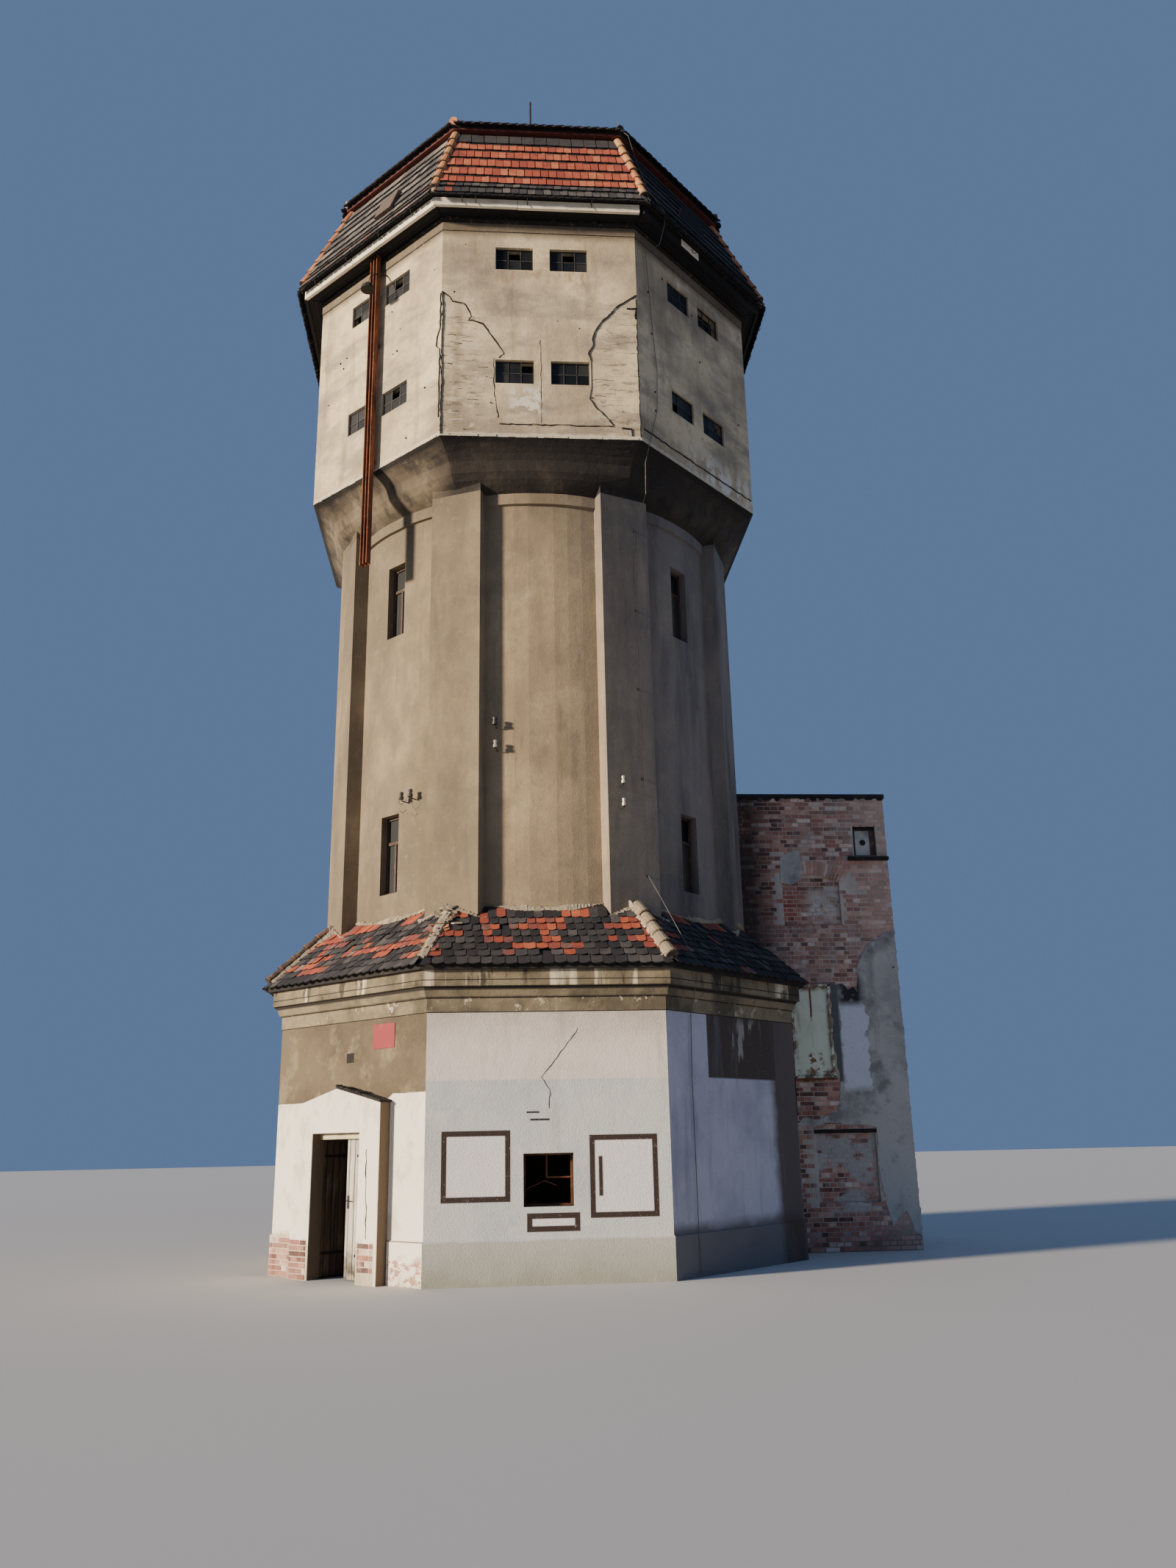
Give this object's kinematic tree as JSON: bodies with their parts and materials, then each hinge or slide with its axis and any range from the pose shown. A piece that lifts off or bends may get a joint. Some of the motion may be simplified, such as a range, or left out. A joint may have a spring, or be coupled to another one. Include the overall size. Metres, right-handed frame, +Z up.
{
  "type": "water tower",
  "caption": "Octagonal rendered brick water tower with a cylindrical shaft between pilasters, a flared tank storey, a two-slope tiled roof and a small flat-roofed brick annex.",
  "frame": {"origin": "on the tower's vertical axis at ground level, in the underside of the ground floor", "axes": "+Z up, -Y out of the front face of the octagon, +X towards the annex"},
  "size_m": [10.712, 8.784, 23.87],
  "materials": {
    "plaster": "aged lime-cement render on masonry, stained and patched with paint",
    "tank_plaster": "aged cement render, cracked on the front face",
    "concrete": "bare concrete, dark with soot on the flare",
    "roof_tile": "fired clay plain tiles, orange-red and charcoal mixed",
    "brick": "dark red-brown brick with pale worn mortar",
    "timber": "weathered painted boards",
    "door_paint": "pale green-grey painted door boards",
    "steel_rust": "fully rusted steel",
    "steel_paint": "pale green paint on steel with rust at the edges",
    "iron": "dark weathered iron",
    "glass": "old dusty window glass",
    "bitumen": "bitumen roofing felt"
  },
  "bodies": {
    "tower": {"annex_floor": "concrete", "annex_roof": "bitumen", "annex_shelf": "concrete", "annex_steel_door": "steel_paint", "annex_wall_front": "brick", "annex_wall_rear": "brick", "annex_wall_side": "brick", "base_cornice": "plaster", "base_wall_door_left_pier": "plaster", "base_wall_door_lintel": "plaster", "base_wall_door_right_pier": "plaster", "base_wall_front": "plaster", "base_wall_front_right": "plaster", "base_wall_left": "plaster", "base_wall_rear": "plaster", "base_wall_rear_left": "plaster", "base_wall_rear_right": "plaster", "base_wall_right": "plaster", "door_head_board": "timber", "door_pivot_left": "iron", "door_pivot_right": "iron", "door_surround": "plaster", "gauge_guide": "steel_rust", "ground_floor": "concrete", "roof_cap": "roof_tile", "roof_finial_rod": "iron", "roof_hatch": "iron", "roof_lower_slope": "roof_tile", "roof_vent": "roof_tile", "shaft_floor_lower": "concrete", "shaft_floor_upper": "concrete", "shaft_glazing_lower": "glass", "shaft_glazing_upper": "glass", "shaft_wall_front": "plaster", "shaft_wall_front_left": "plaster", "shaft_wall_front_right": "plaster", "shaft_wall_left": "plaster", "shaft_wall_rear": "plaster", "shaft_wall_rear_left": "plaster", "shaft_wall_rear_right": "plaster", "shaft_wall_right": "plaster", "skirt_roof": "roof_tile", "tank_eaves": "timber", "tank_flare": "concrete", "tank_floor": "concrete", "tank_glazing_lower": "glass", "tank_glazing_upper": "glass", "tank_wall_front": "tank_plaster", "tank_wall_front_left": "tank_plaster", "tank_wall_front_right": "tank_plaster", "tank_wall_left": "tank_plaster", "tank_wall_rear": "tank_plaster", "tank_wall_rear_left": "tank_plaster", "tank_wall_rear_right": "tank_plaster", "tank_wall_right": "tank_plaster", "wall_lamp": "iron"},
    "door_left": {"door_leaf_left": "door_paint"},
    "door_right": {"door_leaf_right": "door_paint"}
  },
  "joints": [
    {"name": "door_left_hinge", "type": "hinge", "parent": "tower", "child": "door_left", "pos_m": [-3.25269, -2.41831, 0.025], "axis": [0, 0, 1], "range_deg": [-90, 0]},
    {"name": "door_right_hinge", "type": "hinge", "parent": "tower", "child": "door_right", "pos_m": [-2.41477, -3.25623, 0.025], "axis": [0, 0, -1], "range_deg": [0, 90]}
  ]
}
